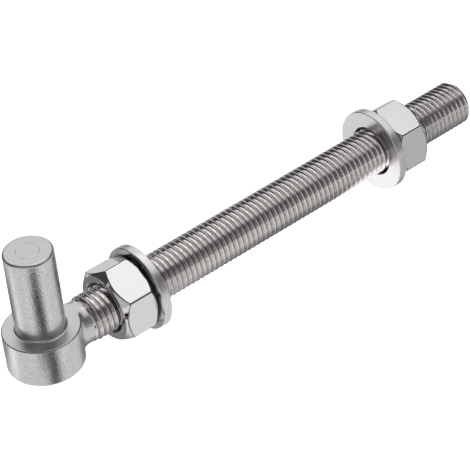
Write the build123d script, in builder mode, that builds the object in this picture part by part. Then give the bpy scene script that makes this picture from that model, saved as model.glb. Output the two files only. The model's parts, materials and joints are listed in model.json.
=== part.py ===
from build123d import *
from math import cos, radians, tan
import os

os.makedirs("parts", exist_ok=True)

# Frame: origin on the pin's axis at the boss's upper face, Z up along the pin, X along the threaded rod.

# Pin and boss
pin_diameter = 16.0
pin_height = 30.0
pin_top_round = 1.0
pin_root_round = 0.9
boss_diameter = 25.0
boss_height = 14.0
boss_edge_round = 0.5
boss_foot_chamfer = 0.6

# Neck and rod: an M16 thread, drawn at the diameter over its crests
neck_flush_cut = 0.3
neck_diameter = boss_height + 2 * neck_flush_cut
neck_blend = 3.2
thread_diameter = 15.8
thread_start = 17.0
thread_lead_in = 1.0
rod_end = 181.0
rod_end_chamfer = 1.4

# Hexagon nuts
nut_across_flats = 23.6
nut_height = 13.0
nut_face_diameter = 22.4
nut_chamfer_angle = 45.0
nut_bore_clearance = 0.1
nut_countersink = 0.7
near_nut_turn = 0.0
far_nut_turn = -9.5

# Plain washers
washer_outside = 29.2
washer_thickness = 3.0
washer_hole_clearance = 0.6
washer_edge_chamfer = 0.3

# Places along the rod: each washer lies flat on its nut, and the post goes between the washers
near_nut_x = 24.0
near_washer_x = near_nut_x + nut_height
far_washer_x = 140.0
far_nut_x = far_washer_x + washer_thickness

# The rod's axis is at half the boss's height
rod_axis_z = -boss_height / 2
rod_axis = Axis((0, 0, rod_axis_z), (1, 0, 0))
rod_half_section = Plane((0, 0, rod_axis_z), x_dir=(1, 0, 0), z_dir=(0, -1, 0))


def across_rod(x):
    """The plane square to the rod's axis at x, with its own X along the part's Y."""
    return Plane((x, 0, rod_axis_z), x_dir=(0, 1, 0), z_dir=(1, 0, 0))


# J-bolt: boss, neck, pin and rod are one piece
with BuildPart() as j_bolt:
    with BuildSketch(Plane.XY):
        Circle(boss_diameter / 2)
    extrude(amount=-boss_height)

    # The neck is round at its sides, and cut flush with the boss above and below
    with BuildSketch(across_rod(0)):
        Circle(neck_diameter / 2)
        Rectangle(neck_diameter, boss_height, mode=Mode.INTERSECT)
    extrude(amount=thread_start + thread_lead_in)

    # Hollow blend between the neck and the boss's side
    upright_edges = j_bolt.edges().filter_by(lambda edge: edge.bounding_box().size.Z > boss_height / 2)
    inner_edges = upright_edges.filter_by(lambda edge: 0 < edge.center().X < boss_diameter / 2)
    fillet(inner_edges, neck_blend)

    # Rounded outline of the upper face, and bevelled outline of the lower one
    upper_outline = j_bolt.faces().sort_by(Axis.Z)[-1].edges()
    fillet(upper_outline.filter_by(lambda edge: edge.center().X < thread_start), boss_edge_round)
    lower_outline = j_bolt.faces().sort_by(Axis.Z)[0].edges()
    chamfer(lower_outline.filter_by(lambda edge: edge.center().X < thread_start), boss_foot_chamfer)

    # Pin with a rounded root and a rounded top
    with BuildSketch(Plane.XY):
        Circle(pin_diameter / 2)
    extrude(amount=pin_height)
    pin_rims = j_bolt.edges().filter_by(GeomType.CIRCLE).group_by(Axis.Z)
    fillet(pin_rims[-1], pin_top_round)
    root_rim = j_bolt.edges().filter_by(GeomType.CIRCLE).filter_by_position(Axis.Z, -0.001, 0.001)
    fillet(root_rim.filter_by(lambda edge: edge.radius == pin_diameter / 2), pin_root_round)

    # Rod with a lead-in cone at the neck and a chamfered free end
    with BuildSketch(rod_half_section):
        with BuildLine():
            Polyline(
                (thread_start, 0),
                (thread_start, thread_diameter / 2 - thread_lead_in),
                (thread_start + thread_lead_in, thread_diameter / 2),
                (rod_end - rod_end_chamfer, thread_diameter / 2),
                (rod_end, thread_diameter / 2 - rod_end_chamfer),
                (rod_end, 0),
                close=True,
            )
        make_face()
    revolve(axis=rod_axis)
j_bolt.part.label = "j_bolt"
export_step(j_bolt.part, "parts/j_bolt.step")


def hexagon_nut(start_x, turn):
    """A nut from start_x along the rod, with coned corners at both ends and a countersunk bore."""
    corner_radius = nut_across_flats / 2 / cos(radians(30))
    face_radius = nut_face_diameter / 2
    cone_depth = (corner_radius - face_radius) * tan(radians(nut_chamfer_angle))
    bore_radius = thread_diameter / 2 + nut_bore_clearance
    end_x = start_x + nut_height
    with BuildPart() as nut:
        with BuildSketch(across_rod(start_x)):
            RegularPolygon(corner_radius, 6, rotation=90 + turn)
        extrude(amount=nut_height)

        # Cones that take off the corners
        with BuildSketch(rod_half_section):
            with BuildLine():
                Polyline(
                    (start_x, 0),
                    (start_x, face_radius),
                    (start_x + cone_depth, corner_radius),
                    (end_x - cone_depth, corner_radius),
                    (end_x, face_radius),
                    (end_x, 0),
                    close=True,
                )
            make_face()
        revolve(axis=rod_axis, mode=Mode.INTERSECT)

        # Bore and its countersinks
        with BuildSketch(rod_half_section):
            with BuildLine():
                Polyline(
                    (start_x, 0),
                    (start_x, bore_radius + nut_countersink),
                    (start_x + nut_countersink, bore_radius),
                    (end_x - nut_countersink, bore_radius),
                    (end_x, bore_radius + nut_countersink),
                    (end_x, 0),
                    close=True,
                )
            make_face()
        revolve(axis=rod_axis, mode=Mode.SUBTRACT)
    return nut


def plain_washer(start_x):
    """A washer from start_x along the rod, with bevelled outer edges."""
    with BuildPart() as washer:
        with BuildSketch(across_rod(start_x)):
            Circle(washer_outside / 2)
            Circle(thread_diameter / 2 + washer_hole_clearance, mode=Mode.SUBTRACT)
        extrude(amount=washer_thickness)
        rims = washer.edges().filter_by(GeomType.CIRCLE).group_by(SortBy.RADIUS)
        chamfer(rims[-1], washer_edge_chamfer)
    return washer


# Near nut and its washer, on the boss's side of the post
near_nut = hexagon_nut(near_nut_x, near_nut_turn)
near_nut.part.label = "near_nut"
export_step(near_nut.part, "parts/near_nut.step")

near_washer = plain_washer(near_washer_x)
near_washer.part.label = "near_washer"
export_step(near_washer.part, "parts/near_washer.step")

# Far washer and its nut, on the free end's side of the post
far_washer = plain_washer(far_washer_x)
far_washer.part.label = "far_washer"
export_step(far_washer.part, "parts/far_washer.step")

far_nut = hexagon_nut(far_nut_x, far_nut_turn)
far_nut.part.label = "far_nut"
export_step(far_nut.part, "parts/far_nut.step")
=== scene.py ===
import json
import math

import bmesh
import bpy
import numpy as np
from mathutils import Matrix, Vector

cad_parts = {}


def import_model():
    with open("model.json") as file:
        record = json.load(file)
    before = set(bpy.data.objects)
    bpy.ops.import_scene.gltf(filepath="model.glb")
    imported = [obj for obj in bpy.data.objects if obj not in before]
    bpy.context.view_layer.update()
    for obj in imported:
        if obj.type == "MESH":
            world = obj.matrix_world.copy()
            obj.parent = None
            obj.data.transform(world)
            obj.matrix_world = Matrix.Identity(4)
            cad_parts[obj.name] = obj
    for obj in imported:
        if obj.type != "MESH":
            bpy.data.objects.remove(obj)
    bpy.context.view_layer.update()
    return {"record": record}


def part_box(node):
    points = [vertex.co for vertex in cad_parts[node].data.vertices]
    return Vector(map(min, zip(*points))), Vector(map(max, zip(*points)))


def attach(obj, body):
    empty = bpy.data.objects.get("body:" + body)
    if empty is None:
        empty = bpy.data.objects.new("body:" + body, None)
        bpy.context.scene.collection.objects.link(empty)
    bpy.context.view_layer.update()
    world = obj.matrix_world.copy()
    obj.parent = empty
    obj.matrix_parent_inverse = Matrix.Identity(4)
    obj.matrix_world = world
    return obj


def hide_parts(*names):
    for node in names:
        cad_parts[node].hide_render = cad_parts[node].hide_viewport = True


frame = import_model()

# Sizes that come from the frame, in metres
MM = 0.001
mounts = {mount["name"]: mount for mount in frame["record"]["mounts"]}
AXIS_Z = mounts["threaded_rod"]["pos_m"][2]
CREST_RADIUS = mounts["threaded_rod"]["dims"]["r_mm"] * MM
PIN_RADIUS = mounts["hinge_pin"]["dims"]["r_mm"] * MM
bolt_low, bolt_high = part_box("j_bolt")
BOSS_RADIUS = -bolt_low.x
BOSS_HEIGHT = -2 * AXIS_Z
PIN_TOP = bolt_high.z
ROD_END = bolt_high.x

# Boss and neck
BOSS_EDGE_ROUND = 0.5 * MM
BOSS_EDGE_LEVELS = 6
BOSS_SIDE_LEVELS = 26
BOSS_ROUND_POINTS = 120
BOSS_FOOT_BEVEL = 0.6 * MM
# The foot's softened bevel: (share of its height, share of its inset)
BOSS_FOOT_SHAPE = ((1.0, 0.0), (0.6, 0.15), (0.15, 0.6), (0.0, 1.0))
NECK_RADIUS = 7.3 * MM
NECK_BLEND = 3.2 * MM
NECK_BLEND_POINTS = 14
NECK_SIDE_POINTS = 6
NECK_END = 15.0 * MM
# The boss's rim is darkened by a painted dark reflection
# The dull rim of the boss's upper face: the upward part of the normal there
BOSS_RIM_LEAN = (0.25, 0.75)

# Pin
PIN_TOP_ROUND = 1.0 * MM
PIN_TOP_POINTS = 9
PIN_SIDE_SHARES = (0.25, 0.5, 0.75)
PIN_ROOT_ROUND = 0.7 * MM
PIN_ROOT_POINTS = 10
PIN_ROOT_STEP = 0.1 * MM
PIN_FOOT_DEPTH = 3.0 * MM
PIN_SEGMENTS = 128
TURNED_RING_RADIUS = 3.7 * MM
TURNED_RING_WIDTH = 0.18 * MM
TURNED_RING_DEPTH = 0.08 * MM
# Section of the turned ring, inwards: (share of its width, share of its depth)
TURNED_RING_SHAPE = ((1.3, 0), (1, 0), (0, 1), (-1, 0), (-1.3, 0))

# Thread: a right-hand helix along +X
PITCH = 2.0 * MM
THREAD_DEPTH = 1.13 * MM
THREAD_CREST_X = 55.46 * MM
THREAD_CREST_ANGLE = math.radians(171.7)
THREAD_SEGMENTS = 88
THREAD_SPARE_TURNS = 3
# One pitch of the profile from crest to crest: (share of the pitch, share of the depth)
THREAD_PROFILE = (
    (-0.035, 0.0), (0.035, 0.0), (0.09, 0.055), (0.37, 0.92),
    (0.43, 1.0), (0.57, 1.0), (0.63, 0.92), (0.91, 0.055),
)
RUN_OUT_START = 14.2 * MM
RUN_OUT_LENGTH = 2.6 * MM
RUN_OUT_RADIUS = 6.9 * MM
ROD_ROOT_X = 13.0 * MM
ROD_END_CHAMFER = 1.4 * MM

# Nuts
NUT_FACE_RADIUS = 11.2 * MM
NUT_ACROSS_FLATS = 23.6 * MM
NUT_CORNER_ROUND = 1.1 * MM
NUT_FACE_ROUND = 0.3 * MM
NUT_CONE_ROUND = 0.7 * MM
NUT_COUNTERSINK = 9.0 * MM
NUT_THREAD_CLEARANCE = 0.06 * MM
NUT_TURNS = {"near_nut": 0.0, "far_nut": math.radians(-9.5)}
HEXAGON_SIDES = 6
SIDE_ANGLE = math.tau / HEXAGON_SIDES
# Points from a corner to the middle of a flat: shares of the rounded corner, then degrees
NUT_CORNER_SHARES = (0.0, 0.4, 0.75, 1.0, 1.4)
NUT_FLAT_DEGREES = (6, 10, 15, 20, 25, 30)
# The nuts' edges are darkened by a painted dark reflection
# The dull edges: the part of the normal along the rod, and the least turn away from a flat's normal
NUT_EDGE_LEAN = (0.09, 0.66)
NUT_EDGE_TURN = math.radians(16)

# Washers
WASHER_HOLE_RADIUS = 8.9 * MM
WASHER_RIM_ROUND = 0.35 * MM
WASHER_HOLE_ROUND = 0.25 * MM
WASHER_ARC_STEPS = 5
WASHER_SEGMENTS = 160
# The side that its nut presses on has painted shade up to a radius, and clears towards the rim
WASHER_SEAT = (12.1 * MM, 13.0 * MM)
# The part of the normal along the rod, at most on the rim and at least on the seat
WASHER_RIM_LEAN = 0.5
WASHER_SEAT_LEAN = 0.9
# The way in which each washer's seat looks along the rod
WASHER_SEAT_SIDES = {"near_washer": -1, "far_washer": 1}

# Meshes
MERGE_DISTANCE = 1e-7
SHORTEST_EDGE = 1e-8
ARC_STEPS = 4
BOLT_SHARP_ANGLE = math.radians(40)
POLISHED_SHARP_ANGLE = math.radians(50)
FLAT_FACE_WEIGHT = 100
THREAD_MARGIN = 0.02 * MM
BORE_MARGIN = 0.01 * MM

# Steel: noise in the object's own coordinates, finer with a larger scale
NOISE_RANGE = (0.3, 0.7)
NOISE_DETAIL = 3.0
SATIN_CLOUD_SCALE = 260
SATIN_CLOUD_DETAIL = 4.0
SATIN_GRAIN_SCALE = 2300
SATIN_GRAIN_STRETCH = (1, 1, 0.5)
SATIN_GRAIN_RELIEF = (0.8, 0.1 * MM)
SATIN_DARK = (0.53, 0.515, 0.515)
SATIN_LIGHT = (0.68, 0.665, 0.665)
SATIN_ROUGHNESS = (0.2, 0.27)
# Faces that look up or down have a fainter grain and a softer gloss
LEVEL_FACE = (0.6, 0.9)
LEVEL_GRAIN_FADE = 0.7
LEVEL_MEAN_GRAIN = 0.5
LEVEL_ADDED_ROUGHNESS = 0.12
POLISH_DARK = (0.725, 0.72, 0.725)
POLISH_LIGHT = (0.745, 0.74, 0.745)
# Painted shade in the thread's valleys: dark at the root, and clear of it a little higher up
THREAD_VALLEY_TOP = 0.8
THREAD_VALLEY = (CREST_RADIUS - THREAD_DEPTH, CREST_RADIUS - THREAD_VALLEY_TOP * THREAD_DEPTH)

# Camera, fitted to the photograph's outlines
CAMERA_PLACE = Vector((-258.06, -443.57, 423.82)) * MM
CAMERA_TARGET = Vector((78.44, 0.0, -8.63)) * MM
CAMERA_ROLL = math.radians(-5.575)
CAMERA_LENS_MM = 164.15
CAMERA_SENSOR_MM = 36.0
CAMERA_NEAREST = 0.01
CAMERA_FARTHEST = 20

# Studio
FLOOR_Z = -0.12
FLOOR_HALF = 6.0
FLOOR_COLOUR = (0.9, 0.9, 0.9, 1)
TABLE_Z = -0.0222
TABLE_HALF = 1.5
TABLE_LEVEL = 0.86
TABLE_GLOW = (1.0, 0.995, 0.995, 1)
# Painted soft shadows and pools of light on the table, in mm: (place, half-widths, turn in degrees,
# brightness)
TABLE_PATCHES = (
    ((-200, 450), (700, 430), 0, 0.08),
    ((-35, 125), (75, 62), 0, 0.1),
    ((185, -40), (130, 90), 0, 0.57),
    ((67, 80), (50, 40), 0, 0.72),
    ((-40, 27), (38, 12), 135, 1.6),
    ((-50, -25), (28, 9), 25, 1.05),
    ((11, -50), (32, 10), -71, 1.05),
    ((5, 42), (60, 42), 0, 0.22),
    ((33, 22), (14, 22), 0, 0.45),
    ((20, 44), (9, 14), 0, 0.48),
    ((125, -3), (140, 14), 0, 0.2),
    ((132, -1), (18, 20), 0, 1.25),
    ((22, 0), (22, 16), 0, 0.25),
    ((-7.5, -30), (9, 20), 0, 0.1),
    ((-25, -54), (30, 40), -24, 0.0),
)
PATCH_SOFT_SHARE = 0.7
ROOM_COLOUR = (0.99, 0.985, 1.0, 1)
ROOM_LEVEL = 0.06
# Soft lights of the room: (direction, where the dot product with it starts and ends to rise, brightness)
ROOM_LIGHTS = (
    ((0.40, -0.15, 0.91), 0.84, 0.995, 1.03),
    ((0.28, 0.28, 0.92), 0.95, 0.995, 0.90),
    ((0.39, 0.67, 0.64), 0.80, 0.97, 0.90),
    ((-0.20, 0.63, 0.74), 0.89, 0.985, 0.70),
    ((-0.85, -0.52, 0.05), 0.60, 0.95, 0.50),
    ((0.42, -0.70, 0.55), 0.50, 0.90, 0.10),
    ((0.46, -0.87, 0.14), 0.95, 0.995, 0.20),
)


# Meshes
def new_object(name, data):
    """An object of a mesh or a camera, linked to the scene."""
    made = bpy.data.objects.new(name, data)
    bpy.context.scene.collection.objects.link(made)
    return made


def mesh_from(name, vertices, faces):
    """A clean mesh: doubled points are merged, and the normals point outwards."""
    mesh = bpy.data.meshes.new(name)
    mesh.from_pydata([tuple(v) for v in vertices], [], [tuple(f) for f in faces])
    work = bmesh.new()
    work.from_mesh(mesh)
    bmesh.ops.remove_doubles(work, verts=work.verts, dist=MERGE_DISTANCE)
    bmesh.ops.dissolve_degenerate(work, edges=work.edges, dist=SHORTEST_EDGE)
    bmesh.ops.recalc_face_normals(work, faces=work.faces)
    work.to_mesh(mesh)
    work.free()
    return mesh


def capped(mesh):
    """The mesh, with each open end closed by a fan."""
    work = bmesh.new()
    work.from_mesh(mesh)
    open_edges = [edge for edge in work.edges if edge.is_boundary]
    made = bmesh.ops.holes_fill(work, edges=open_edges, sides=0)["faces"]
    bmesh.ops.poke(work, faces=made)
    bmesh.ops.recalc_face_normals(work, faces=work.faces)
    work.to_mesh(mesh)
    work.free()
    return mesh


def joined(name, meshes):
    """One closed mesh of several closed meshes that run into each other."""
    base = new_object(name, meshes[0])
    for mesh in meshes[1:]:
        other = new_object(name + "_part", mesh)
        union = base.modifiers.new("union", "BOOLEAN")
        union.operation = "UNION"
        union.solver = "EXACT"
        union.object = other
        united = base.evaluated_get(bpy.context.evaluated_depsgraph_get())
        result = bpy.data.meshes.new_from_object(united)
        base.modifiers.clear()
        base.data = result
        bpy.data.objects.remove(other)
    return base


def soften(piece, sharp_angle):
    """Smooth shading with hard edges above an angle, and normals that keep flat faces flat."""
    piece.data.shade_smooth()
    piece.data.set_sharp_from_angle(angle=sharp_angle)
    weighted = piece.modifiers.new("weighted normals", "WEIGHTED_NORMAL")
    weighted.keep_sharp = True
    weighted.weight = FLAT_FACE_WEIGHT


def rounded(points, radii, steps=ARC_STEPS):
    """The open polyline through points, with each inner corner turned into an arc of its radius."""
    points = [np.array(p, float) for p in points]
    line = [points[0]]
    for before, corner, after, radius in zip(points, points[1:], points[2:], radii):
        to_before = (before - corner) / np.linalg.norm(before - corner)
        to_after = (after - corner) / np.linalg.norm(after - corner)
        half = math.acos(np.clip(to_before @ to_after, -1, 1)) / 2
        middle = to_before + to_after
        centre = corner + middle / np.linalg.norm(middle) * radius / math.sin(half)
        first = corner + to_before * radius / math.tan(half)
        last = corner + to_after * radius / math.tan(half)
        for step in range(steps + 1):
            share = step / steps
            spoke = (first - centre) * (1 - share) + (last - centre) * share
            line.append(centre + spoke / np.linalg.norm(spoke) * radius)
    line.append(points[-1])
    return np.array(line)


def grid_faces(rows, columns, closed_columns=True):
    """Quads of a grid of points, numbered row by row."""
    faces = []
    last = columns if closed_columns else columns - 1
    for row in range(rows - 1):
        for column in range(last):
            across = (column + 1) % columns
            faces.append((
                row * columns + column, row * columns + across,
                (row + 1) * columns + across, (row + 1) * columns + column,
            ))
    return faces


def full_circle(segments):
    """Angles of a full circle in equal steps."""
    return np.arange(segments) * math.tau / segments


def helix_grid(x_start, x_end, angles, radius_at):
    """Points and faces of a threaded tube. Its rows follow the helix, so crests and roots stay crisp."""
    per_pitch = len(THREAD_PROFILE)
    phase = THREAD_CREST_X - PITCH * THREAD_CREST_ANGLE / math.tau
    first_turn = math.floor((x_start - phase) / PITCH) - THREAD_SPARE_TURNS
    turns = math.ceil((x_end - x_start) / PITCH) + 2 * THREAD_SPARE_TURNS
    row_x = np.array([
        phase + (first_turn + turn + share) * PITCH for turn in range(turns) for share, _ in THREAD_PROFILE
    ])
    row_depth = np.array([depth for _ in range(turns) for _, depth in THREAD_PROFILE])
    x = np.clip(row_x[:, None] + PITCH * angles[None, :] / math.tau, x_start, x_end)
    radius = radius_at(x, row_depth[:, None] * np.ones_like(x))
    points = np.stack([x, radius * np.cos(angles), AXIS_Z + radius * np.sin(angles)], axis=2)
    columns = len(angles)
    faces = grid_faces(len(row_x), columns, closed_columns=False)
    # The last column joins the first one a pitch further on
    for row in range(len(row_x) - per_pitch - 1):
        faces.append((
            row * columns + columns - 1, (row + per_pitch) * columns,
            (row + per_pitch + 1) * columns, (row + 1) * columns + columns - 1,
        ))
    return points.reshape(-1, 3), faces


def smooth_step(value):
    """The value, held between 0 and 1 and eased at both ends."""
    value = np.clip(value, 0, 1)
    return value * value * (3 - 2 * value)


def thread_radius(depth):
    """The rod's radius at a share of the thread's depth."""
    return CREST_RADIUS - THREAD_DEPTH * depth


def rod_mesh():
    """The threaded rod: it runs out towards the neck, and its free end is chamfered."""
    def radius_at(x, depth):
        share = smooth_step((x - RUN_OUT_START) / RUN_OUT_LENGTH)
        radius = RUN_OUT_RADIUS + (thread_radius(depth) - RUN_OUT_RADIUS) * share
        chamfer = CREST_RADIUS - ROD_END_CHAMFER + (ROD_END - x)
        return np.minimum(radius, chamfer)

    points, faces = helix_grid(ROD_ROOT_X, ROD_END, full_circle(THREAD_SEGMENTS), radius_at)
    return capped(mesh_from("rod", points, faces))


def boss_outline(z, inset):
    """The plan outline of boss, hollow blends and neck at height z, drawn in by inset."""
    half_width = math.sqrt(NECK_RADIUS**2 - (z - AXIS_Z) ** 2) - inset
    radius = BOSS_RADIUS - inset
    blend = NECK_BLEND + inset
    centre_y = half_width + blend
    centre_x = math.sqrt((radius + blend) ** 2 - centre_y**2)
    tangent = math.atan2(centre_y, centre_x)
    straight = [(x, half_width) for x in np.linspace(NECK_END, centre_x, NECK_SIDE_POINTS)]
    hollow = [
        (centre_x + blend * math.cos(turn), centre_y + blend * math.sin(turn))
        for turn in np.linspace(-math.pi / 2, tangent - math.pi, NECK_BLEND_POINTS)[1:]
    ]
    side = straight + hollow
    round_part = [
        (radius * math.cos(turn), radius * math.sin(turn))
        for turn in np.linspace(tangent, math.tau - tangent, BOSS_ROUND_POINTS)[1:-1]
    ]
    mirrored = [(x, -y) for x, y in reversed(side)]
    return side + round_part + mirrored


def boss_mesh():
    """Boss and neck, lofted through level outlines from the upper face to the foot."""
    levels = []
    for turn in np.linspace(0, math.pi / 2, BOSS_EDGE_LEVELS):
        levels.append((-BOSS_EDGE_ROUND * (1 - math.cos(turn)), BOSS_EDGE_ROUND * (1 - math.sin(turn))))
    middle = (-BOSS_EDGE_ROUND - BOSS_HEIGHT + BOSS_FOOT_BEVEL) / 2
    reach = (BOSS_HEIGHT - BOSS_FOOT_BEVEL - BOSS_EDGE_ROUND) / 2
    for turn in np.linspace(0, math.pi, BOSS_SIDE_LEVELS)[1:-1]:
        levels.append((middle + reach * math.cos(turn), 0.0))
    for height, inset in BOSS_FOOT_SHAPE:
        levels.append((-BOSS_HEIGHT + BOSS_FOOT_BEVEL * height, BOSS_FOOT_BEVEL * inset))
    points = [(x, y, z) for z, inset in levels for x, y in boss_outline(z, inset)]
    columns = len(points) // len(levels)
    faces = grid_faces(len(levels), columns)
    faces.append(tuple(range(columns)))
    faces.append(tuple(range((len(levels) - 1) * columns, len(levels) * columns)))
    return mesh_from("boss", points, faces)


def pin_mesh():
    """The hinge pin: hollow root on a small step, rounded top and a shallow turned ring on its end."""
    foot = PIN_RADIUS + PIN_ROOT_ROUND
    profile = [(0.0, -PIN_FOOT_DEPTH), (foot, -PIN_FOOT_DEPTH)]
    for turn in np.linspace(math.pi * 1.5, math.pi, PIN_ROOT_POINTS):
        profile.append((
            foot + PIN_ROOT_ROUND * math.cos(turn),
            PIN_ROOT_STEP + PIN_ROOT_ROUND + PIN_ROOT_ROUND * math.sin(turn),
        ))
    for share in PIN_SIDE_SHARES:
        profile.append((PIN_RADIUS, PIN_TOP * share))
    for turn in np.linspace(0, math.pi / 2, PIN_TOP_POINTS):
        profile.append((
            PIN_RADIUS - PIN_TOP_ROUND + PIN_TOP_ROUND * math.cos(turn),
            PIN_TOP - PIN_TOP_ROUND + PIN_TOP_ROUND * math.sin(turn),
        ))
    for width, depth in TURNED_RING_SHAPE:
        profile.append((TURNED_RING_RADIUS + width * TURNED_RING_WIDTH, PIN_TOP - depth * TURNED_RING_DEPTH))
    profile.append((0.0, PIN_TOP))
    turns = full_circle(PIN_SEGMENTS)
    points = [
        (radius * math.cos(turn), radius * math.sin(turn), z) for radius, z in profile for turn in turns
    ]
    return mesh_from("pin", points, grid_faces(len(profile), PIN_SEGMENTS))


def hexagon_radius(delta):
    """Distance of a flat from the nut's axis at an angle delta from a corner, with the corner rounded."""
    flat = NUT_ACROSS_FLATS / 2
    half_side = SIDE_ANGLE / 2
    centre = (flat - NUT_CORNER_ROUND) / math.cos(half_side)
    reach = math.atan2(NUT_CORNER_ROUND / 2, centre + NUT_CORNER_ROUND * math.cos(half_side))
    if abs(delta) < reach:
        return centre * math.cos(delta) + math.sqrt(NUT_CORNER_ROUND**2 - (centre * math.sin(delta)) ** 2)
    return flat / math.cos(half_side - abs(delta))


def nut_mesh(name, x_start, x_end, turn):
    """A hexagon nut: coned corners, softened edges, countersinks and a thread that fits the rod's."""
    reach = math.degrees(math.atan2(NUT_CORNER_ROUND / 2, NUT_ACROSS_FLATS / math.sqrt(3)))
    half = [reach * share for share in NUT_CORNER_SHARES] + list(NUT_FLAT_DEGREES)
    deltas = [-d for d in half[:0:-1]] + half[:-1]
    angles = np.array([
        math.pi / 2 + turn + corner * SIDE_ANGLE + math.radians(d)
        for corner in range(HEXAGON_SIDES) for d in deltas
    ])
    radii = [hexagon_radius(math.radians(d)) for _ in range(HEXAGON_SIDES) for d in deltas]
    arcs = (NUT_FACE_ROUND, NUT_CONE_ROUND, NUT_CONE_ROUND, NUT_FACE_ROUND)
    sections = []
    for radius in radii:
        cone = radius - NUT_FACE_RADIUS
        corners = [
            (x_start, NUT_COUNTERSINK), (x_start, NUT_FACE_RADIUS), (x_start + cone, radius),
            (x_end - cone, radius), (x_end, NUT_FACE_RADIUS), (x_end, NUT_COUNTERSINK),
        ]
        sections.append(rounded(corners, arcs))
    outer = np.array(sections).transpose(1, 0, 2)
    outer_points = np.stack([
        outer[:, :, 0], outer[:, :, 1] * np.cos(angles), AXIS_Z + outer[:, :, 1] * np.sin(angles),
    ], axis=2).reshape(-1, 3)
    outer_faces = grid_faces(len(outer), len(angles))

    def bore_at(x, depth):
        countersink = NUT_COUNTERSINK - np.minimum(x - x_start, x_end - x)
        return np.maximum(thread_radius(depth) + NUT_THREAD_CLEARANCE, countersink)

    bore_points, bore_faces = helix_grid(x_start, x_end, angles, bore_at)
    shift = len(outer_points)
    bore_faces = [tuple(index + shift for index in face) for face in bore_faces]
    return mesh_from(name, np.vstack([outer_points, bore_points]), outer_faces + bore_faces)


def washer_mesh(name, x_start, x_end, outer_radius):
    """A plain washer with softened edges."""
    in_hole = ((x_start + x_end) / 2, WASHER_HOLE_RADIUS)
    corners = [
        in_hole, (x_start, WASHER_HOLE_RADIUS), (x_start, outer_radius),
        (x_end, outer_radius), (x_end, WASHER_HOLE_RADIUS), in_hole,
    ]
    arcs = (WASHER_HOLE_ROUND, WASHER_RIM_ROUND, WASHER_RIM_ROUND, WASHER_HOLE_ROUND)
    section = rounded(corners, arcs, WASHER_ARC_STEPS)
    turns = full_circle(WASHER_SEGMENTS)
    points = [
        (x, radius * math.cos(turn), AXIS_Z + radius * math.sin(turn))
        for x, radius in section for turn in turns
    ]
    return mesh_from(name, points, grid_faces(len(section), WASHER_SEGMENTS))


# Materials
def new_material(name):
    """A node material with a Principled shader: returns (material, nodes, links, shader)."""
    material = bpy.data.materials.new(name)
    material.use_nodes = True
    nodes = material.node_tree.nodes
    return material, nodes, material.node_tree.links, nodes["Principled BSDF"]


def noise(nodes, links, scale, stretch=(1, 1, 1), detail=NOISE_DETAIL):
    """A noise texture in the object's own coordinates: its Factor output."""
    place = nodes.new("ShaderNodeTexCoord")
    mapping = nodes.new("ShaderNodeMapping")
    mapping.inputs["Scale"].default_value = stretch
    texture = nodes.new("ShaderNodeTexNoise")
    texture.inputs["Scale"].default_value = scale
    texture.inputs["Detail"].default_value = detail
    links.new(place.outputs["Object"], mapping.inputs["Vector"])
    links.new(mapping.outputs["Vector"], texture.inputs["Vector"])
    return texture.outputs["Fac"]


def spread(nodes, links, value, low, high, value_range=NOISE_RANGE):
    """The value, mapped from its own range to the range low to high."""
    node = nodes.new("ShaderNodeMapRange")
    node.inputs["From Min"].default_value = value_range[0]
    node.inputs["From Max"].default_value = value_range[1]
    node.inputs["To Min"].default_value = low
    node.inputs["To Max"].default_value = high
    links.new(value, node.inputs["Value"])
    return node.outputs["Result"]


def tint(nodes, links, value, dark, light):
    """A colour between dark and light, which follows the noise."""
    ramp = nodes.new("ShaderNodeValToRGB")
    for element, position, colour in zip(ramp.color_ramp.elements, NOISE_RANGE, (dark, light)):
        element.position = position
        element.color = (*colour, 1)
    links.new(value, ramp.inputs["Fac"])
    return ramp.outputs["Color"]


def bump(nodes, links, height, strength, distance):
    """A normal that follows the height."""
    node = nodes.new("ShaderNodeBump")
    node.inputs["Strength"].default_value = strength
    node.inputs["Distance"].default_value = distance
    links.new(height, node.inputs["Height"])
    return node.outputs["Normal"]


def levelness(nodes, links, most):
    """A share that is 0 on upright faces and rises to most on faces that look up or down."""
    surface = nodes.new("ShaderNodeNewGeometry")
    parts = nodes.new("ShaderNodeSeparateXYZ")
    links.new(surface.outputs["Normal"], parts.inputs["Vector"])
    level = nodes.new("ShaderNodeMath")
    level.operation = "ABSOLUTE"
    links.new(parts.outputs["Z"], level.inputs[0])
    return spread(nodes, links, level.outputs["Value"], 0, most, LEVEL_FACE)


def calmed(nodes, links, value):
    """The grain's value, which is fainter on faces that look up or down."""
    mix = nodes.new("ShaderNodeMix")
    links.new(levelness(nodes, links, LEVEL_GRAIN_FADE), mix.inputs["Factor"])
    links.new(value, mix.inputs["A"])
    mix.inputs["B"].default_value = LEVEL_MEAN_GRAIN
    return mix.outputs["Result"]


def between_radii(nodes, links, radii):
    """A share that rises from 0 to 1 between two distances from the rod's axis."""
    place = nodes.new("ShaderNodeTexCoord")
    flatten = nodes.new("ShaderNodeVectorMath")
    flatten.operation = "MULTIPLY_ADD"
    flatten.inputs[1].default_value = (0, 1, 1)
    flatten.inputs[2].default_value = (0, 0, -AXIS_Z)
    distance = nodes.new("ShaderNodeVectorMath")
    distance.operation = "LENGTH"
    links.new(place.outputs["Object"], flatten.inputs[0])
    links.new(flatten.outputs["Vector"], distance.inputs[0])
    return spread(nodes, links, distance.outputs["Value"], 0, 1, radii)


def shaded(nodes, links, share, shade, steel):
    """The steel's colour, with the painted shade where the share is low."""
    mix = nodes.new("ShaderNodeMix")
    mix.data_type = "RGBA"
    mix.inputs["A"].default_value = (*shade, 1)
    links.new(share, mix.inputs["Factor"])
    links.new(steel, mix.inputs["B"])
    return mix.outputs["Result"]


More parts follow.
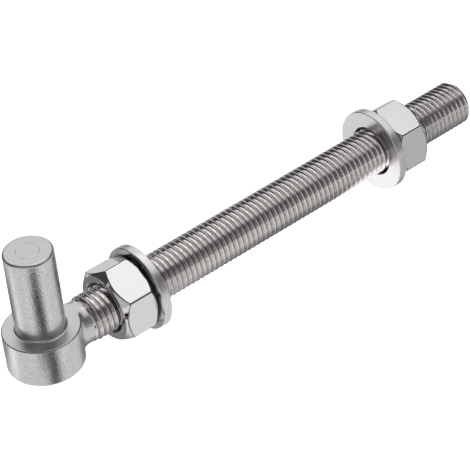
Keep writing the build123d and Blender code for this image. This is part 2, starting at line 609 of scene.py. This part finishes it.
def satin_steel():
    """Tumbled stainless steel: a frosty grain with soft cloudy patches."""
    material, nodes, links, shader = new_material("satin_steel")
    shader.inputs["Metallic"].default_value = 1.0
    clouds = noise(nodes, links, SATIN_CLOUD_SCALE, detail=SATIN_CLOUD_DETAIL)
    grain = calmed(nodes, links, noise(nodes, links, SATIN_GRAIN_SCALE, SATIN_GRAIN_STRETCH))
    links.new(tint(nodes, links, grain, SATIN_DARK, SATIN_LIGHT), shader.inputs["Base Color"])
    roughness = nodes.new("ShaderNodeMath")
    links.new(spread(nodes, links, clouds, *SATIN_ROUGHNESS), roughness.inputs[0])
    links.new(levelness(nodes, links, LEVEL_ADDED_ROUGHNESS), roughness.inputs[1])
    links.new(roughness.outputs["Value"], shader.inputs["Roughness"])
    links.new(bump(nodes, links, grain, *SATIN_GRAIN_RELIEF), shader.inputs["Normal"])
    return material


def plain_steel(
    name, scale, dark, light, roughness, stretch=(1, 1, 1), shade=None, shade_radii=None, relief=None
):
    """Steel whose tint and gloss follow one noise, with a painted shade about the rod's axis or a fine
    relief.
    """
    material, nodes, links, shader = new_material(name)
    shader.inputs["Metallic"].default_value = 1.0
    pattern = noise(nodes, links, scale, stretch)
    colour = tint(nodes, links, pattern, dark, light)
    if shade:
        colour = shaded(nodes, links, between_radii(nodes, links, shade_radii), shade, colour)
    links.new(colour, shader.inputs["Base Color"])
    links.new(spread(nodes, links, pattern, *roughness), shader.inputs["Roughness"])
    if relief:
        links.new(bump(nodes, links, pattern, *relief), shader.inputs["Normal"])
    return material


def thread_steel():
    """Rolled thread: bright crests and flanks, and painted shade that darkens the valleys at the root."""
    return plain_steel(
        "thread_steel", scale=900, stretch=(3, 1, 1), roughness=(0.1, 0.17),
        dark=(0.68, 0.655, 0.645), light=(0.8, 0.78, 0.77),
        shade=(0.3, 0.285, 0.28), shade_radii=THREAD_VALLEY,
    )


def shaded_bore_steel():
    """The nuts' threaded bores: dark with painted shade, and dull."""
    return plain_steel(
        "shaded_bore_steel", scale=1200, roughness=(0.3, 0.45),
        dark=(0.08, 0.076, 0.074), light=(0.2, 0.19, 0.185),
    )


def shaded_seat_steel():
    """The side of a washer that its nut presses on: painted shade, dark near the nut and clear towards the
    rim.
    """
    return plain_steel(
        "shaded_seat_steel", scale=700, roughness=(0.09, 0.16),
        dark=(0.7, 0.695, 0.7), light=(0.76, 0.755, 0.76),
        shade=(0.2, 0.196, 0.196), shade_radii=WASHER_SEAT,
    )


def polished_steel():
    """Polished stainless steel with the faint lines of its polishing."""
    return plain_steel(
        "polished_steel", scale=700, stretch=(0.15, 1, 1), roughness=(0.055, 0.08),
        dark=POLISH_DARK, light=POLISH_LIGHT,
    )


def clamp_steel():
    """The washers' sides towards the post: polished, with a softer gloss than the nuts."""
    return plain_steel(
        "clamp_steel", scale=700, roughness=(0.2, 0.25), dark=POLISH_DARK, light=POLISH_LIGHT,
    )


def painted_reflection_edge_steel():
    """The dull edges of the nuts' flats and of the boss's upper face, darkened by a painted dark reflection.
    """
    return plain_steel(
        "painted_reflection_edge_steel", scale=500, roughness=(0.12, 0.2),
        dark=(0.2, 0.198, 0.198), light=(0.3, 0.297, 0.297),
    )


def turned_steel():
    """The washers' turned rims: fine lines all round, and a softer gloss."""
    return plain_steel(
        "turned_steel", scale=900, stretch=(4, 0.3, 0.3), roughness=(0.26, 0.36),
        dark=(0.6, 0.59, 0.585), light=(0.76, 0.755, 0.75), relief=(0.3, 0.05 * MM),
    )


# Pieces
def dress(piece, steels, steel_of, sharp_angle):
    """Gives each face the steel that steel_of names for it, and softens the shading."""
    mesh = piece.data
    mesh.materials.clear()
    for steel in steels.values():
        mesh.materials.append(steel)
    places = list(steels)
    for face in mesh.polygons:
        face.material_index = places.index(steel_of(face, mesh))
    soften(piece, sharp_angle)


def bolt_steel(face, mesh):
    """The bolt's thread, the dull rim of the boss's upper face with its painted dark reflection, and the
    tumbled rest.
    """
    if face.center.x > NECK_END + THREAD_MARGIN:
        return "thread"
    in_edge_round = -BOSS_EDGE_ROUND < face.center.z < 0
    return "rim" if in_edge_round and BOSS_RIM_LEAN[0] < face.normal.z < BOSS_RIM_LEAN[1] else "satin"


def nut_steel(turn):
    """A nut's bore with painted shade, its dull edges between flats and cones with a painted dark
    reflection, and its polished faces.
    """
    def steel_of(face, mesh):
        points = [mesh.vertices[index].co for index in face.vertices]
        innermost = min(math.hypot(point.y, point.z - AXIS_Z) for point in points)
        if innermost < NUT_COUNTERSINK - BORE_MARGIN:
            return "bore"
        lean = abs(face.normal.x)
        past_flat = (math.atan2(face.normal.z, face.normal.y) - turn) % SIDE_ANGLE
        off_flat = min(past_flat, SIDE_ANGLE - past_flat)
        at_corner = lean < NUT_EDGE_LEAN[0] and off_flat > NUT_EDGE_TURN
        return "edge" if at_corner or NUT_EDGE_LEAN[0] < lean < NUT_EDGE_LEAN[1] else "flat"
    return steel_of


def washer_steel(seat_side):
    """A washer's turned rim, the side that its nut presses on and the side towards the post."""
    def steel_of(face, mesh):
        if abs(face.normal.x) < WASHER_RIM_LEAN:
            return "rim"
        return "seat" if seat_side * face.normal.x > WASHER_SEAT_LEAN else "clamp"
    return steel_of


def build_bolt(edge):
    """Boss, neck, pin and threaded rod in one piece."""
    piece = joined("bolt", [boss_mesh(), pin_mesh(), rod_mesh()])
    steels = {"satin": satin_steel(), "thread": thread_steel(), "rim": edge}
    dress(piece, steels, bolt_steel, BOLT_SHARP_ANGLE)
    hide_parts("j_bolt")
    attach(piece, "j_bolt")


def build_polished(name, node, mesh, steels, steel_of):
    """A nut or a washer."""
    piece = new_object(name, mesh)
    dress(piece, steels, steel_of, POLISHED_SHARP_ANGLE)
    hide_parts(node)
    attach(piece, node)


def build_nuts(edge):
    """The two hexagon nuts."""
    steels = {"flat": polished_steel(), "bore": shaded_bore_steel(), "edge": edge}
    for node, turn in NUT_TURNS.items():
        low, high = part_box(node)
        mesh = nut_mesh(node, low.x, high.x, turn)
        build_polished("hexagon_" + node, node, mesh, steels, nut_steel(turn))


def build_washers():
    """The two plain washers, as wide as their solids' boxes allow."""
    steels = {"clamp": clamp_steel(), "rim": turned_steel(), "seat": shaded_seat_steel()}
    for node, seat_side in WASHER_SEAT_SIDES.items():
        low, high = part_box(node)
        outer_radius = min(high.y, -low.y, high.z - AXIS_Z, AXIS_Z - low.z)
        mesh = washer_mesh(node, low.x, high.x, outer_radius)
        build_polished("plain_" + node, node, mesh, steels, washer_steel(seat_side))


# Studio
def level_card(name, half, z, material):
    """A level square of the stage."""
    corners = [(-half, -half, z), (half, -half, z), (half, half, z), (-half, half, z)]
    mesh = bpy.data.meshes.new(name)
    mesh.from_pydata(corners, [], [tuple(range(len(corners)))])
    mesh.materials.append(material)
    card = new_object(name, mesh)
    card.visible_diffuse = False
    card.visible_shadow = False
    return card


def floor():
    """A plain white floor, which is only a ground for the picture."""
    material, _, _, shader = new_material("pale_floor")
    shader.inputs["Base Color"].default_value = FLOOR_COLOUR
    shader.inputs["Roughness"].default_value = 1.0
    shader.inputs["Emission Color"].default_value = (1, 1, 1, 1)
    shader.inputs["Emission Strength"].default_value = 1.0
    card = level_card("floor", FLOOR_HALF, FLOOR_Z, material)
    card.visible_glossy = False


def soft_patch(nodes, links, place, half_widths, turn):
    """A weight on the table that falls off softly, from 1 at a place to 0 at its half-widths."""
    coordinates = nodes.new("ShaderNodeTexCoord")
    mapping = nodes.new("ShaderNodeMapping")
    mapping.vector_type = "TEXTURE"
    mapping.inputs["Location"].default_value = (place[0] * MM, place[1] * MM, TABLE_Z)
    mapping.inputs["Rotation"].default_value = (0, 0, math.radians(turn))
    mapping.inputs["Scale"].default_value = (half_widths[0] * MM, half_widths[1] * MM, 1)
    falloff = nodes.new("ShaderNodeTexGradient")
    falloff.gradient_type = "SPHERICAL"
    links.new(coordinates.outputs["Object"], mapping.inputs["Vector"])
    links.new(mapping.outputs["Vector"], falloff.inputs["Vector"])
    soft = nodes.new("ShaderNodeMapRange")
    soft.interpolation_type = "SMOOTHSTEP"
    soft.inputs["From Max"].default_value = PATCH_SOFT_SHARE
    links.new(falloff.outputs["Fac"], soft.inputs["Value"])
    return soft.outputs["Result"]


def table():
    """A glowing pale table close under the part, with painted soft shadows and pools of light, which only
    the metal mirrors.
    """
    material, nodes, links, shader = new_material("pale_table")
    shader.inputs["Base Color"].default_value = (0, 0, 0, 1)
    shader.inputs["Roughness"].default_value = 1.0
    shader.inputs["Specular IOR Level"].default_value = 0.0
    shader.inputs["Emission Color"].default_value = TABLE_GLOW
    brightness = None
    for place, half_widths, turn, level in TABLE_PATCHES:
        mix = nodes.new("ShaderNodeMix")
        links.new(soft_patch(nodes, links, place, half_widths, turn), mix.inputs["Factor"])
        mix.inputs["A"].default_value = TABLE_LEVEL
        mix.inputs["B"].default_value = level
        if brightness:
            links.new(brightness, mix.inputs["A"])
        brightness = mix.outputs["Result"]
    links.new(brightness, shader.inputs["Emission Strength"])
    card = level_card("table", TABLE_HALF, TABLE_Z, material)
    card.visible_camera = False


def world():
    """A dim grey room with soft lights."""
    room = bpy.data.worlds.new("studio")
    bpy.context.scene.world = room
    room.use_nodes = True
    nodes = room.node_tree.nodes
    links = room.node_tree.links
    background = nodes["Background"]
    background.inputs["Color"].default_value = ROOM_COLOUR
    coordinates = nodes.new("ShaderNodeTexCoord")
    total = None
    for direction, start, end, brightness in ROOM_LIGHTS:
        toward = nodes.new("ShaderNodeVectorMath")
        toward.operation = "DOT_PRODUCT"
        toward.inputs[1].default_value = Vector(direction).normalized()
        links.new(coordinates.outputs["Generated"], toward.inputs[0])
        glow = nodes.new("ShaderNodeMapRange")
        glow.interpolation_type = "SMOOTHSTEP"
        glow.inputs["From Min"].default_value = start
        glow.inputs["From Max"].default_value = end
        glow.inputs["To Max"].default_value = brightness
        links.new(toward.outputs["Value"], glow.inputs["Value"])
        added = nodes.new("ShaderNodeMath")
        added.inputs[1].default_value = ROOM_LEVEL
        links.new(glow.outputs["Result"], added.inputs[0])
        if total:
            links.new(total, added.inputs[1])
        total = added.outputs["Value"]
    links.new(total, background.inputs["Strength"])


def camera():
    """The camera at the photograph's viewing angle."""
    data = bpy.data.cameras.new("camera")
    data.lens = CAMERA_LENS_MM
    data.sensor_width = CAMERA_SENSOR_MM
    data.clip_start = CAMERA_NEAREST
    data.clip_end = CAMERA_FARTHEST
    view = new_object("camera", data)
    forward = (CAMERA_TARGET - CAMERA_PLACE).normalized()
    level = forward.cross(Vector((0, 0, 1))).normalized()
    up = level.cross(forward)
    right = level * math.cos(CAMERA_ROLL) + up * math.sin(CAMERA_ROLL)
    facing = Matrix((right, right.cross(forward), -forward)).transposed().to_4x4()
    view.matrix_world = Matrix.Translation(CAMERA_PLACE) @ facing
    bpy.context.scene.camera = view


# Dull steel with a painted dark reflection, for the nuts' edges and the boss's rim
edge = painted_reflection_edge_steel()
build_bolt(edge)
build_nuts(edge)
build_washers()
floor()
table()
world()
camera()
bpy.context.scene.view_settings.view_transform = "Standard"
